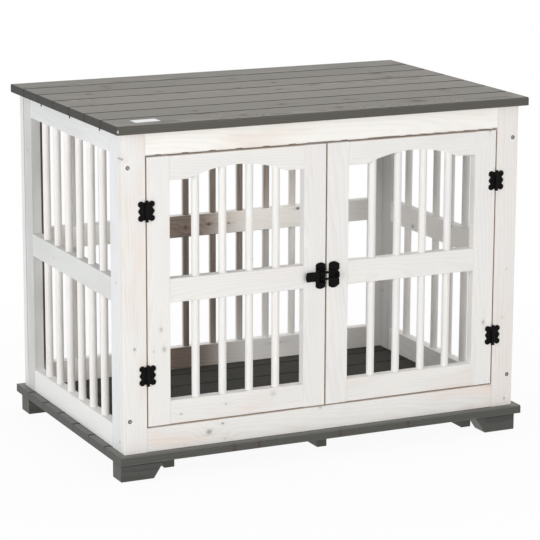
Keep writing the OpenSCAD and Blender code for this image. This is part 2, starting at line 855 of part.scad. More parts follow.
// Hook of the catch, seen along Z: a stem and a curl over the loop's end
module hook_outline() {
  translate([hook_x - hook_r - hook_t, -pivot_out]) square([hook_t, pivot_out - plate_t / 2]);
  translate([hook_x, -pivot_out]) difference() {
    circle(hook_r + hook_t);
    circle(hook_r);
    translate([-2 * hook_r, 0]) square(4 * hook_r);
    rotate(hook_end) square(4 * hook_r);
  }
}

// Catch on the right door: a plate with two side lugs and the hook
module latch_catch() {
  lug_z = plate_h / 2 - lug_in - lug_h / 2;
  color(iron) difference() {
    at_latch() {
      translate([catch_x, 0, 0]) plate();
      for (k = [-1, 1]) translate([catch_x + plate_w / 2 - 1, -plate_t, k * lug_z - lug_h / 2])
        cube([lug_w + 1, plate_t, lug_h]);
      linear_extrude(hook_w, center = true) hook_outline();
    }
    at_plate_screws(1) screw_hole(small_head_d, small_d, small_l);
  }
}

// Long screws through the posts into the side panels
module frame_screws() {
  color(zinc) at_frame_screws() screw(screw_head_d, screw_d, screw_l);
}

// Slanted screws through the side head rails into the top
module top_screws() {
  color(zinc) at_pockets() screw(small_head_d, small_d, pocket_l);
}

// Screws up into the base: through the battens, the feet and the base itself
module base_screws() {
  color(zinc) {
    at_sill_screws() screw(screw_head_d, screw_d, slab_screw_l);
    at_batten_screws() screw(screw_head_d, screw_d, batten_screw_l);
    at_foot_screws() screw(screw_head_d, screw_d, foot_screw_l);
  }
}

// Small black screws of the hinge leaves on the posts
module hinge_frame_screws() {
  color(iron) for (s = [-1, 1])
    at_hinges(s) mirror([1, 0, 0]) at_leaf_screws() screw(small_head_d, small_d, small_l);
}

// Small black screws in door s: its hinge leaves and its latch or catch plate
module door_screws(s) {
  color(iron) {
    at_hinges(s) at_leaf_screws() screw(small_head_d, small_d, small_l);
    at_plate_screws(s) screw(small_head_d, small_d, small_l);
  }
}

top_boards(0, 0);  // top_front_board
top_boards(1, slab_boards - 2);  // top_middle_boards
top_boards(slab_boards - 1, slab_boards - 1);  // top_back_board
base_boards(0, 0);  // base_front_board
base_boards(1, slab_boards - 2);  // base_middle_boards
base_boards(slab_boards - 1, slab_boards - 1);  // base_back_board
base_battens();
feet();
front_post(-1);  // left_front_post
front_post(1);  // right_front_post
front_head_rail();
front_sill_rail();
door_stop();
side_stile(-1, -1);  // left_side_front_stile
side_stile(-1, 1);  // left_side_back_stile
side_head_rail(-1);  // left_side_head_rail
side_mid_rail(-1);  // left_side_mid_rail
side_sill_rail(-1);  // left_side_sill_rail
side_dowels_all(-1);  // left_side_dowels
side_stile(1, -1);  // right_side_front_stile
side_stile(1, 1);  // right_side_back_stile
side_head_rail(1);  // right_side_head_rail
side_mid_rail(1);  // right_side_mid_rail
side_sill_rail(1);  // right_side_sill_rail
side_dowels_all(1);  // right_side_dowels
back_post(-1);  // left_back_post
back_post(1);  // right_back_post
back_rail(head_h, head_z, false, true);  // back_head_rail
back_rail(mid_h, panel_mid_z, true, true);  // back_mid_rail
back_rail(sill_h, floor_z, true, false);  // back_sill_rail
back_dowels_all();  // back_dowels
door_stile(-1, 1);  // left_door_hinge_stile
door_stile(-1, -1);  // left_door_latch_stile
door_arched_rail(-1);  // left_door_arched_rail
door_mid_rail(-1);  // left_door_mid_rail
door_bottom_rail(-1);  // left_door_bottom_rail
door_dowels_all(-1);  // left_door_dowels
door_stile(1, 1);  // right_door_hinge_stile
door_stile(1, -1);  // right_door_latch_stile
door_arched_rail(1);  // right_door_arched_rail
door_mid_rail(1);  // right_door_mid_rail
door_bottom_rail(1);  // right_door_bottom_rail
door_dowels_all(1);  // right_door_dowels
hinge_frame_leaves(-1);  // left_hinge_frame_leaves
hinge_door_leaves(-1);  // left_hinge_door_leaves
hinge_frame_leaves(1);  // right_hinge_frame_leaves
hinge_door_leaves(1);  // right_hinge_door_leaves
hinge_pins();
latch_plate();
latch_lever();
latch_loop();
latch_rivets();
latch_catch();
latch_bow();
frame_screws();
top_screws();
base_screws();
hinge_frame_screws();
door_screws(-1);  // left_door_screws
door_screws(1);  // right_door_screws
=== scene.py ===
"""A wooden dog cage with two arched doors: whitewashed pine frames, grey-stained boards, black iron fittings."""

import math
import random

import bmesh
import bpy
from mathutils import Matrix, Vector


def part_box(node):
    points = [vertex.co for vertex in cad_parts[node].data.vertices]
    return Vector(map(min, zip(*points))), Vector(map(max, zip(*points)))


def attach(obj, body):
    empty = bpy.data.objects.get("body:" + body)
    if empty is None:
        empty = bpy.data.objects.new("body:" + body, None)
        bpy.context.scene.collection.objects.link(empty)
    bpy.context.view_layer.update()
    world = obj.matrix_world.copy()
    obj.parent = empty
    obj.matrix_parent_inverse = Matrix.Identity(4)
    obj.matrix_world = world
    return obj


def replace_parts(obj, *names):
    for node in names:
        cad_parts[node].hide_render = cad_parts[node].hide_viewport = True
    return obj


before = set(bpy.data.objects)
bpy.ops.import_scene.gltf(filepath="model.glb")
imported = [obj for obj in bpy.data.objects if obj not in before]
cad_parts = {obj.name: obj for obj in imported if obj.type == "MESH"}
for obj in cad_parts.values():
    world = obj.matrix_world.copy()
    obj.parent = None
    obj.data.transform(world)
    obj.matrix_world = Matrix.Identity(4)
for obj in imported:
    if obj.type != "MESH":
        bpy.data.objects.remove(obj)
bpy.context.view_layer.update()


# ---- Camera
# It stands 25 degrees to the left of the doors and 13 degrees above the cage's middle,
# far enough away that the cage's long edges hardly converge.

camera = bpy.data.objects.new("camera", bpy.data.cameras.new("camera"))
bpy.context.collection.objects.link(camera)
bpy.context.scene.camera = camera
camera.data.sensor_width = 36
camera.data.lens = 163.89
camera_azimuth, camera_elevation, camera_roll = (math.radians(v) for v in (-25.352, 12.847, 0.202))
camera.matrix_world = (
    Matrix.Translation((-2.0379, -4.3229, 1.3987))
    @ Matrix.Rotation(camera_azimuth, 4, "Z")
    @ Matrix.Rotation(math.pi / 2 - camera_elevation, 4, "X")
    @ Matrix.Rotation(camera_roll, 4, "Z")
)


# ---- Studio
# A pale seamless floor that runs out to white, a lamp nearly straight in front that casts soft-edged shadows
# into the cage, large soft lamps at the left and above, a faint one under the top, and a plain white surround.

class Wire:
    """An output of a node: arithmetic on it adds Math nodes to its finish."""

    def __init__(self, finish, socket):
        self.finish, self.socket = finish, socket

    def output(self, name):
        return Wire(self.finish, self.socket.node.outputs[name])

    def __add__(self, other):
        return self.finish.maths("ADD", self, other)

    def __radd__(self, other):
        return self.finish.maths("ADD", other, self)

    def __sub__(self, other):
        return self.finish.maths("SUBTRACT", self, other)

    def __rsub__(self, other):
        return self.finish.maths("SUBTRACT", other, self)

    def __mul__(self, other):
        return self.finish.maths("MULTIPLY", self, other)

    def __rmul__(self, other):
        return self.finish.maths("MULTIPLY", other, self)

    def __truediv__(self, other):
        return self.finish.maths("DIVIDE", self, other)


class Finish:
    """A material whose nodes are added by calls and by arithmetic on their wires."""

    def __init__(self, name, holder=None):
        if holder is None:
            holder = self.material = bpy.data.materials.new(name)
        holder.use_nodes = True
        self.tree = holder.node_tree
        self.tree.nodes.clear()

    def node(self, kind, settings=None, inputs=None, output=0):
        """A node of a type, with its settings, and with values or wires for its sockets."""
        made = self.tree.nodes.new("ShaderNode" + kind)
        for key, value in (settings or {}).items():
            setattr(made, key, value)
        for key, value in (inputs or {}).items():
            if isinstance(value, Wire):
                self.tree.links.new(value.socket, made.inputs[key])
            else:
                made.inputs[key].default_value = value
        return Wire(self, made.outputs[output]) if made.outputs else made

    def maths(self, operation, *values):
        return self.node("Math", {"operation": operation}, dict(enumerate(values)))

    def rise(self, value, low, high):
        """0 at low, 1 at high and smooth between; low may be the larger of the two."""
        return self.node("MapRange", {"interpolation_type": "SMOOTHSTEP"},
                         {"Value": value, "From Min": low, "From Max": high})

    def mix(self, factor, first, second):
        return self.node("Mix", {"data_type": "RGBA"}, {0: factor, 6: first, 7: second}, 2)

    def point(self, x, y=0.0, z=0.0):
        return self.node("CombineXYZ", None, {0: x, 1: y, 2: z})

    def noise(self, point, detail=2.0, roughness=0.5):
        return self.node("TexNoise", None, {"Vector": point, "Scale": 1.0, "Detail": detail, "Roughness": roughness})

    def place(self):
        """X, Y and Z on the piece in millimetres."""
        metres = self.node("TexCoord", output="Object")
        millimetres = self.node("VectorMath", {"operation": "SCALE"}, {0: metres, "Scale": 1000.0})
        split = self.node("SeparateXYZ", None, {0: millimetres})
        return [split.output(axis) for axis in "XYZ"]

    def surface(self, shader):
        self.node("OutputMaterial", None, {"Surface": shader})


def srgb(*levels):
    """A colour from levels of 0 to 255, as a screen shows them."""
    shares = (level / 255 for level in levels)
    return tuple(v / 12.92 if v <= 0.04045 else ((v + 0.055) / 1.055) ** 2.4 for v in shares) + (1.0,)


def piece(name, mesh, body, finish):
    """A finished mesh as a piece of the cage that rides on a body."""
    data = bpy.data.meshes.new(name)
    mesh.to_mesh(data)
    mesh.free()
    made = bpy.data.objects.new(name, data)
    bpy.context.collection.objects.link(made)
    data.materials.append(finish.material)
    if body:
        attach(made, body)
    return made


LAMPS_FACE = Vector((0, 0, 0.3))


def lamp(name, place, size, energy, colour=(1, 1, 1)):
    """A round soft lamp that faces the middle of the cage."""
    light = bpy.data.lights.new(name, "AREA")
    light.shape, light.size, light.energy, light.color = "DISK", size, energy, colour
    made = bpy.data.objects.new(name, light)
    bpy.context.collection.objects.link(made)
    facing = (LAMPS_FACE - Vector(place)).to_track_quat("-Z", "Y")
    made.matrix_world = Matrix.Translation(place) @ facing.to_matrix().to_4x4()
    return made


def white_rays(finish):
    """1 for the rays that show the studio white: the camera's, and those off gloss or through glass."""
    rays = finish.node("LightPath")
    return finish.maths("MAXIMUM", rays.output("Is Camera Ray"), finish.maths(
        "MAXIMUM", rays.output("Is Glossy Ray"), rays.output("Is Transmission Ray")))


floor_mesh = bmesh.new()
bmesh.ops.create_circle(floor_mesh, cap_ends=True, segments=64, radius=40)
floor_finish = Finish("studio_floor")
floor_x, floor_y, _ = floor_finish.place()
floor_reach = floor_finish.maths("SQRT", floor_x * floor_x + floor_y * floor_y)
white_share = white_rays(floor_finish) * (0.94 + 0.06 * floor_finish.rise(floor_reach, 500, 1500))
floor_finish.surface(floor_finish.node("MixShader", None, {
    0: white_share,
    1: floor_finish.node("BsdfDiffuse", None, {"Color": srgb(240, 240, 240)}),
    2: floor_finish.node("Emission", None, {"Color": (1, 1, 1, 1), "Strength": 1.0}),
}))
piece("studio_floor", floor_mesh, None, floor_finish)

bpy.context.scene.view_settings.view_transform = "Standard"
surround = bpy.data.worlds.new("surround")
bpy.context.scene.world = surround
sky = Finish("surround", surround)
sky.node("OutputWorld", None, {"Surface": sky.node("MixShader", None, {
    0: white_rays(sky),
    1: sky.node("Background", None, {"Color": (0.97, 0.985, 1, 1), "Strength": 0.45}),
    2: sky.node("Background", None, {"Color": (1, 1, 1, 1), "Strength": 1.0}),
})})
lamp("front_lamp", (0.45, -4.3, 1.25), 0.5, 39, (1, 0.985, 0.965))
lamp("left_lamp", (-4.0, -2.2, 1.2), 1.8, 76)
lamp("top_lamp", (0.3, 0.6, 3.0), 2.6, 31)
lamp("inner_lamp", (0.18, 0.0, 0.57), 0.12, 0.65, (1, 0.95, 0.9)).visible_camera = False


# ---- Base
# Seven tongue-and-groove pine boards lie side to side, stained dark grey, with a V groove along each seam.
# Three battens and four feet with a slanted inner end are screwed on from below, in the same stain. The battens are
# painted darker as shade, the feet get a painted shadow line under the slab, and the boards get painted shade
# inside the panels and on their front faces.

AXES = "XYZ"


class Timber:
    """The figure of pine on a piece: rings round a pith, fibres, and knots that push the rings aside."""

    def __init__(self, finish, node, grain, seed, cell=None, knots=(), scatter=0.0):
        self.finish = f = finish
        chance = random.Random(seed)
        low, high = (corner * 1000 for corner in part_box(node))
        middle, half = (low + high) / 2, (high - low) / 2
        place = f.place()
        thin = min((i for i in range(3) if AXES[i] != grain), key=lambda i: half[i])
        wide = next(i for i in range(3) if AXES[i] != grain and i != thin)
        self.x, self.y, self.z = place
        self.along, self.across, self.depth = place[AXES.index(grain)], place[wide], place[thin]
        self.normal = f.node("SeparateXYZ", None, {0: f.node("TexCoord", output="Normal")})
        # Each board or dowel of a group gets a number of its own.
        self.own = 0.0
        if cell:
            self.own = f.node("TexWhiteNoise", {"noise_dimensions": "3D"}, {"Vector": cell(f, *place)}, "Value")
        self.shift = self.own * 700.0 + chance.uniform(0, 900)
        self.edge = (half[wide] - f.maths("ABSOLUTE", self.across - middle[wide])
                     + half[thin] - f.maths("ABSOLUTE", self.depth - middle[thin]))
        self.end = f.rise(f.maths("ABSOLUTE", self.normal.output(grain)), 0.5, 0.9)
        self.slow = f.noise(f.point(self.along / 210.0, self.across / 60.0, self.depth / 60.0 + self.shift))
        self.core, self.flame, push = 0.0, 0.0, 0.0
        wobble = 0.8 + 0.4 * f.noise(f.point(self.along / 7.0, self.across / 5.0, self.shift), 1.0)
        found = [(self.along - a, self.across - c, r, s) for a, c, r, s in knots]
        if scatter:
            found.append(self.scattered(scatter))
        for along, across, radius, strength in found:
            reach = f.maths("SQRT", along * along * 0.6 + across * across) / radius * wobble
            core = f.rise(reach, 0.75, 0.25) * strength
            self.core = f.maths("MAXIMUM", core, self.core)
            halo = f.rise(reach, 1.5, 0.5)
            tail = f.maths("EXPONENT", (along * along * 0.06 + across * across * 1.4) / (radius * radius) * -1.0)
            self.flame = f.maths("MAXIMUM", f.maths("MAXIMUM", halo, 0.5 * tail) * strength, self.flame)
            push = push + f.maths("EXPONENT", reach * reach * -0.15) * radius * 1.3
        pith_across = middle[wide] + chance.uniform(-0.6, 0.6) * half[wide] + (self.own - 0.5) * 50.0
        pith_depth = middle[thin] + chance.choice((-1, 1)) * chance.uniform(28, 60)
        lean = chance.uniform(0.015, 0.04) * chance.choice((-1, 1))
        aside = self.across - pith_across
        below = self.depth - pith_depth + self.along * lean
        radius = f.maths("SQRT", aside * aside + below * below) + self.slow * 16.0 + push
        ring = f.maths("FRACT", radius / chance.uniform(2.8, 4.4) + self.shift)
        self.late = f.rise(ring, 0.25, 0.9) * f.rise(ring, 1.0, 0.92)
        self.streak = f.noise(f.point(self.along / 90.0, self.across / 3.2, self.depth / 3.2 + self.shift), 3.0, 0.6)
        self.fibre = f.noise(f.point(self.along / 14.0, self.across / 0.45, self.depth / 0.45 + self.shift), 2.0)

    def scattered(self, share):
        """One knot at most in each cell of a loose net over the board."""
        f = self.finish
        length, width = 230.0, 75.0
        cells = f.node("TexVoronoi", {"voronoi_dimensions": "2D"}, {
            "Vector": f.point(self.along / length + self.shift, self.across / width + self.shift), "Scale": 1.0})
        spot = f.node("SeparateXYZ", None, {0: cells.output("Position")})
        lot = f.node("SeparateColor", None, {0: cells.output("Color")})
        along = (self.along / length + self.shift - spot.output("X")) * length
        across = (self.across / width + self.shift - spot.output("Y")) * width
        kept = f.maths("LESS_THAN", lot.output("Red"), share)
        return along, across, 1.8 + 3.0 * lot.output("Green"), kept * (0.5 + 0.5 * lot.output("Blue"))

    def finished(self, colour, roughness, specular=0.4, relief=0.00025):
        f = self.finish
        height = 0.5 * self.late + 0.5 * self.fibre - 0.6 * self.core
        f.surface(f.node("BsdfPrincipled", None, {
            "Base Color": colour, "Roughness": roughness, "Specular IOR Level": specular,
            "Normal": f.node("Bump", None, {"Strength": 0.6, "Distance": relief, "Height": height}),
        }))


def coat_node(node, finish):
    """Gives a CAD piece its finish."""
    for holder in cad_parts[node].material_slots:
        holder.material = finish.material


# Millimetres: a slab board's width, the slab's front edge, half a seam, and half of the room inside the frame.
SLAB_BOARD = 82.5
SLAB_FRONT = -285.0
HALF_SEAM = 0.25
ROOM_X, ROOM_Y = 391.0, 248.0


def slab_turns(y):
    """How many boards lie between the slab's front edge and a point."""
    return (y - SLAB_FRONT + HALF_SEAM) / SLAB_BOARD


def stained(name, node, seed, early, late, tones, cell=None, grain="X", knots=(), scatter=0.4, worn=0.5, seams=False,
            ends=(52, 51, 45), inside=0.0, chip=None, front=0.3, gloss=0.6, shaded=None):
    """Grey stain on pine: the late wood and the knots stay dark, and worn edges show the wood.
    seams darkens the grooves between a slab's boards, and front paints shade on its front face. inside paints shade on
    the floor between the panels and light on the upward ledges round it, chip is a place where the stain is knocked
    off, and shaded is the height of what overhangs the piece, under which a shadow line is painted."""
    f = Finish(name)
    wood = Timber(f, node, grain, seed, cell, knots, scatter)
    colour = f.mix(0.15 + 0.75 * wood.late, srgb(*early), srgb(*late))
    colour = f.mix(0.5 * f.rise(wood.streak, 0.42, 0.68), colour, srgb(*tones[0]))
    colour = f.mix(wood.own, colour, f.mix(0.35, colour, srgb(*tones[1])))
    colour = f.mix(0.22 * f.rise(wood.fibre, 0.4, 0.7), colour, srgb(*late))
    colour = f.mix(0.6 * wood.flame, colour, srgb(68, 54, 45))
    colour = f.mix(0.9 * wood.core, colour, srgb(52, 26, 18))
    colour = f.mix(0.9 * wood.end, colour, srgb(*ends))
    edge = f.rise(wood.edge + 3.0 * wood.streak, 3.2, 1.2)
    colour = f.mix(worn * edge * (1.0 - 0.7 * wood.end), colour, srgb(150, 141, 126))
    # Painted shadow: a dark line just below the height of what overhangs the piece.
    if shaded:
        colour = f.mix(0.85 * f.rise(wood.z, shaded - 8.2, shaded - 6.2), colour, srgb(14, 14, 12))
    covered = 0.0
    # Painted shade on the floor inside the panels, and painted light on the upward ledges outside them.
    if inside:
        covered = (f.rise(f.maths("ABSOLUTE", wood.x), ROOM_X + 4.0, ROOM_X)
                   * f.rise(f.maths("ABSOLUTE", wood.y), ROOM_Y + 4.0, ROOM_Y))
        lit_ledge = f.rise(wood.normal.output("Z"), 0.3, 0.8) * (1.0 - covered)
        colour = f.mix(0.4 * lit_ledge, colour, srgb(126, 127, 121))
        colour = f.mix(inside * covered, colour, srgb(20, 18, 15))
    if seams:
        turns = slab_turns(wood.y)
        off_seam = f.maths("ABSOLUTE", f.maths("FRACT", turns + 0.5) - 0.5) * SLAB_BOARD
        groove = f.rise(off_seam, 4.0, 2.6) * f.rise(turns, 0.5, 0.6)
        colour = f.mix(0.95 * groove, colour, srgb(22, 20, 18))
        # Painted shade on the slab's front face.
        colour = f.mix(front * f.rise(wood.normal.output("Y"), -0.3, -0.8), colour, srgb(52, 54, 50))
    if chip:
        offsets = [place - at for place, at in zip((wood.x, wood.y, wood.z), chip)]
        away = f.maths("SQRT", sum((offset * offset for offset in offsets), 0.0))
        colour = f.mix(0.8 * f.rise(away + 5.0 * wood.streak, 6.2, 4.6), colour, srgb(214, 208, 194))
    wood.finished(colour, 0.32 + 0.2 * wood.streak + 0.1 * wood.late + 0.5 * covered, gloss)
    return f


def slab_cell(f, x, y, z):
    """The number of the slab board that a point is on."""
    return f.point(f.maths("FLOOR", slab_turns(y)), f.maths("FLOOR", z / 300.0))


# A knot is its place along the grain, its place across it, its radius, and how strongly it shows.
BASE_KNOTS = {"base_front_board": [(-197, -284, 5, 1.0), (-146, -285, 3.6, 1.0),
                                   (26, -284, 3.6, 1.0), (174, -284, 3.6, 1.0)]}
# The base boards get painted shade inside the panels and on their front faces, and painted light on the ledges.
for number, node in enumerate(("base_front_board", "base_middle_boards", "base_back_board")):
    coat_node(node, stained("dark_stain_boards_%d" % number, node, 11 + number, (74, 75, 69), (50, 49, 44),
                            [(64, 66, 62), (88, 84, 75)], slab_cell, knots=BASE_KNOTS.get(node, ()), seams=True,
                            ends=(34, 34, 30), inside=0.5))


def foot_cell(f, x, y, z):
    """The corner of the cage that a point is at."""
    return f.point(f.maths("SIGN", x), f.maths("SIGN", y))


def batten_cell(f, x, y, z):
    """The number of the batten that a point is on."""
    return f.point(f.maths("FLOOR", (x + 600) / 400.0), 5.0)


# The feet get a painted shadow line just under the slab's overhang.
coat_node("feet", stained("dark_stain_feet", "feet", 21, (68, 70, 64), (44, 44, 40),
                          [(60, 62, 57), (80, 77, 69)], foot_cell, knots=[(-377, -239, 3.5, 0.9)], scatter=0.3,
                          shaded=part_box("feet")[1].z * 1000))
# The battens' stain is painted darker than the feet's, as painted shade from the slab above them.
coat_node("base_battens", stained("stain_and_shade_battens", "base_battens", 22, (54, 54, 50), (38, 38, 34),
                                  [(48, 49, 45), (66, 63, 56)], batten_cell, grain="Y"))


# ---- Front frame
# Two posts, a head rail and a sill rail of whitewashed pine, joined by stub tenons and screwed to the sides,
# with a stop block behind the head rail that both doors close against.

# Millimetres: where the slanted screw pockets open in the side head rails.
POCKET_YS = (-163, -8, 147)
POCKET_Z = 648


def whitewashed(node, grain, seed, cell=None, knots=(), scatter=0.0, warm=0.5, pink=0.0, inner=None, worn=0.5,
                knot=(150, 146, 140), gap=None, wash=((244, 242, 238), (240, 240, 239)), pockets=False):
    """Thin white wash on pine: streaks, late wood, knots and the edges show warm or grey through it.
    gap is the axis and sign of the faces along a door's gap, which are tinted, and pockets darkens screw pockets with
    bare wood and painted shade. inner gives the axis and sign of the faces that look into the cage, how thin their wash
    is, and its tone; the thin taupe wash there is partly a thinner wash and partly painted shadow."""
    f = Finish("whitewash_" + node)
    wood = Timber(f, node, grain, seed, cell, knots, scatter)
    bare = f.mix(wood.late, srgb(226, 208, 190), srgb(176, 150, 132))
    bare = f.mix(wood.flame, bare, srgb(*knot))
    bare = f.mix(wood.core, bare, srgb(*(0.72 * level for level in knot)))
    streak = f.rise(wood.streak, 0.5, 0.78)
    slow = f.rise(wood.slow, 0.5, 0.72)
    edge = f.rise(wood.edge + 2.6 * wood.streak, 2.6, 1.0)
    show = (0.04 + 0.03 * wood.late + 0.16 * warm * streak * (0.35 + slow) + 0.04 * f.rise(wood.fibre, 0.45, 0.75)
            + 0.42 * wood.core + 0.22 * wood.flame + 0.3 * worn * edge)
    coat = f.mix(f.rise(wood.slow, 0.35, 0.65), srgb(*wash[0]), srgb(*wash[1]))
    coat = f.mix(pink * slow, coat, srgb(242, 230, 220))
    colour = f.mix(f.maths("MINIMUM", show, 0.9), coat, bare)
    if gap:
        axis, sign = gap
        colour = f.mix(0.6 * f.rise(wood.normal.output(axis) * sign, 0.3, 0.8), colour, srgb(220, 205, 190))
    # Painted shade with bare wood in the screw pockets.
    if pockets:
        above = wood.z - POCKET_Z
        for y in POCKET_YS:
            aside = wood.y - y
            reach = f.maths("SQRT", aside * aside * 2.0 + above * above)
            colour = f.mix(0.95 * f.rise(reach, 6.0, 4.6), colour, srgb(56, 42, 34))
    # Painted shadow inside the cage, laid on as a thinner, taupe wash.
    if inner:
        axis, sign, thin, tone = inner
        facing = f.rise(wood.normal.output(axis) * sign, 0.1, 0.7)
        shadow_wash = f.mix(0.55 * wood.late + 0.35 * streak, srgb(*tone), srgb(88, 74, 65))
        colour = f.mix(facing * thin(f, wood), colour, shadow_wash)
        colour = f.mix(facing * (0.55 * wood.flame + 0.4 * wood.core), colour, srgb(72, 52, 42))
    wood.finished(colour, 0.55 + 0.15 * wood.streak, relief=0.00012)
    coat_node(node, f)


whitewashed("left_front_post", "Z", 31, knots=[(252, -392, 3.6, 1.0), (608, -413, 3, 0.9), (605, -404, 4, 0.3)],
            warm=1.2, pink=0.8, knot=(150, 118, 100), gap=("X", 1))
whitewashed("right_front_post", "Z", 32, knots=[(66, 398, 3.5, 0.8), (330, 396, 3, 0.5), (233, 388, 3, 0.5)],
            warm=1.0, pink=0.4, gap=("X", -1), wash=((243, 239, 235), (240, 238, 236)))
# The head rail's brighter wash is painted light, against the shade under the top's overhang.
whitewashed("front_head_rail", "X", 33, warm=0.5, pink=0.6, gap=("Z", -1), wash=((255, 253, 248), (254, 252, 247)))
whitewashed("front_sill_rail", "X", 34, warm=1.7, pink=0.8, gap=("Z", 1),
            knots=[(-243, 76, 8, 0.9), (-215, 89, 4, 0.9), (-210, 59, 4, 0.4), (-10, 96, 4.5, 0.7)])
whitewashed("door_stop", "Z", 35, scatter=0.2)


# ---- Side panels
# Each side is two stiles and three rails, with twelve turned dowels in two rows that are glued into sockets.

def row_cell(f, x, y, z):
    """The number of the dowel that a point is on, in a side's two rows."""
    return f.point(f.maths("FLOOR", (y + 300) / 59.43), f.maths("SIGN", z - 360), f.maths("SIGN", x))


SIDE_KNOTS = {
    "left_side_front_stile": [(373, -238, 4, 0.6)],
    "left_side_back_stile": [(544, 231, 4, 0.7), (417, 250, 4, 0.7), (130, 250, 4, 0.7)],
    "right_side_mid_rail": [(111, 342, 6, 0.9), (-51, 373, 4, 0.7)],
}
# The wash tones given per piece are painted light and shade: the back stiles darker, the sills and dowels lighter, the
# left mid rail darker and the right one lighter.
MID_RAIL_LIGHT_AND_SHADE = {"left": ((232, 234, 232), (226, 228, 226)), "right": ((253, 252, 249), (250, 249, 247))}
for seed, side in ((41, "left"), (51, "right")):
    name = side + "_side_"
    whitewashed(name + "front_stile", "Z", seed, knots=SIDE_KNOTS.get(name + "front_stile", ()), scatter=0.25,
                wash=((240, 242, 243), (236, 238, 240)))
    whitewashed(name + "back_stile", "Z", seed + 1, knots=SIDE_KNOTS.get(name + "back_stile", ()), scatter=0.35,
                wash=((222, 222, 220), (210, 212, 211)))
    whitewashed(name + "head_rail", "Y", seed + 2, scatter=0.2, wash=((240, 242, 242), (234, 236, 236)), pockets=True)
    whitewashed(name + "mid_rail", "Y", seed + 3, knots=SIDE_KNOTS.get(name + "mid_rail", ()), scatter=0.2,
                wash=MID_RAIL_LIGHT_AND_SHADE[side])
    whitewashed(name + "sill_rail", "Y", seed + 4, scatter=0.3, wash=((250, 250, 248), (246, 247, 247)))
    whitewashed(name + "dowels", "Z", seed + 5, row_cell, scatter=0.2, warm=1.0, worn=0.0,
                wash=((254, 251, 248), (252, 250, 247)))


# ---- Back panel
# Two posts and three rails like the sides', with twenty-two dowels. On the faces that look into the cage a
# thinner, taupe wash paints the shadow that falls inside, so these are more taupe than white.

def back_cell(f, x, y, z):
    """The number of the dowel that a point is on, in the back's two rows."""
    return f.point(f.maths("FLOOR", (x + 400) / 61.33), f.maths("SIGN", z - 360), 7.0)


def back_shadow(f, wood):
    """How thin the wash is, as the painted shadow of the doors' stiles on the back: most so left of the middle."""
    return 0.92 * f.rise(wood.x, 110, -60) * f.rise(wood.x, -260, -130)


def dowel_shadow(f, wood):
    """How thin a dowel's wash is, as painted shade: the light falls in from the right and low, so the left and the top
    are painted darker.
    """
    lit = wood.x - 0.35 * (wood.z - 330.0)
    return f.maths("MAXIMUM", 0.95 * f.rise(lit, 235, 45), 0.85 * f.rise(wood.z, 400, 520)) * f.rise(wood.x, -420, -150)


def corner_shadow(f, wood):
    """How thin the wash is in the left corner, as the front post's painted shadow: all of it above the sill rail."""
    return 0.9 * f.rise(wood.z, 60, 120)


INNER_SHADOW = ("Y", -1.0, back_shadow, (134, 114, 101))
whitewashed("left_back_post", "Z", 61, scatter=0.3, inner=("Y", -1.0, corner_shadow, (66, 50, 40)))
whitewashed("right_back_post", "Z", 62, scatter=0.3, inner=INNER_SHADOW)
whitewashed("back_head_rail", "X", 63, scatter=0.2, inner=INNER_SHADOW)
whitewashed("back_mid_rail", "X", 64, inner=INNER_SHADOW,
            knots=[(-65, 353, 4.5, 0.8), (-12, 356, 4.5, 0.8), (33, 354, 3, 0.6), (193, 372, 3.5, 0.9)])
whitewashed("back_sill_rail", "X", 65, knots=[(144, 85, 5, 0.8)], scatter=0.2, inner=INNER_SHADOW)
whitewashed("back_dowels", "Z", 66, back_cell, scatter=0.2, warm=1.0, worn=0.0,
            inner=("Y", -1.0, dowel_shadow, (122, 107, 95)))


# ---- Doors
# Each door is two stiles, an arched top rail, a middle rail and a bottom rail, with eight dowels in two rows;
# the upper dowels end in the underside of the arch.

def door_cell(f, x, y, z):
    """The number of the dowel that a point is on, in a door's two rows."""
    return f.point(f.maths("FLOOR", (x + 400) / 54.85), f.maths("SIGN", z - 360), 9.0)


DOOR_KNOTS = {
    "left_door_bottom_rail": [(-300, 118, 4, 0.6), (-208, 127, 4, 0.6), (-110, 135, 8, 0.4)],
    "left_door_hinge_stile": [(284, -339, 6, 0.6), (246, -333, 7, 0.65), (244, -354, 4, 0.4)],
    "right_door_hinge_stile": [(227, 346, 6, 0.65), (608, 352, 6, 0.6)],
}
# Each part's grain, and the axis and sign of its face along the gap, as they are on the left door.
DOOR_PARTS = (("hinge_stile", "Z", ("X", -1)), ("latch_stile", "Z", ("X", 1)), ("arched_rail", "X", ("Z", 1)),
              ("mid_rail", "X", None), ("bottom_rail", "X", ("Z", -1)))
ROSY_PARTS = ("right_door_arched_rail", "right_door_bottom_rail", "left_door_bottom_rail", "left_door_hinge_stile")
for seed, side in ((71, "left"), (81, "right")):
    for number, (part, grain, gap) in enumerate(DOOR_PARTS):
        node = side + "_door_" + part
        if side == "right" and grain == "Z":
            gap = ("X", -gap[1])
        rosy = node in ROSY_PARTS
        whitewashed(node, grain, seed + number, knots=DOOR_KNOTS.get(node, ()), gap=gap,
                    warm=1.3 if rosy else 0.8, pink=0.7 if rosy else 0.2)
    whitewashed(side + "_door_dowels", "Z", seed + 6, door_cell, warm=0.8, worn=0.0)


# ---- Top
# Seven tongue-and-groove boards like the base's, in a lighter grey stain, with a bare white label
# at the front left corner.

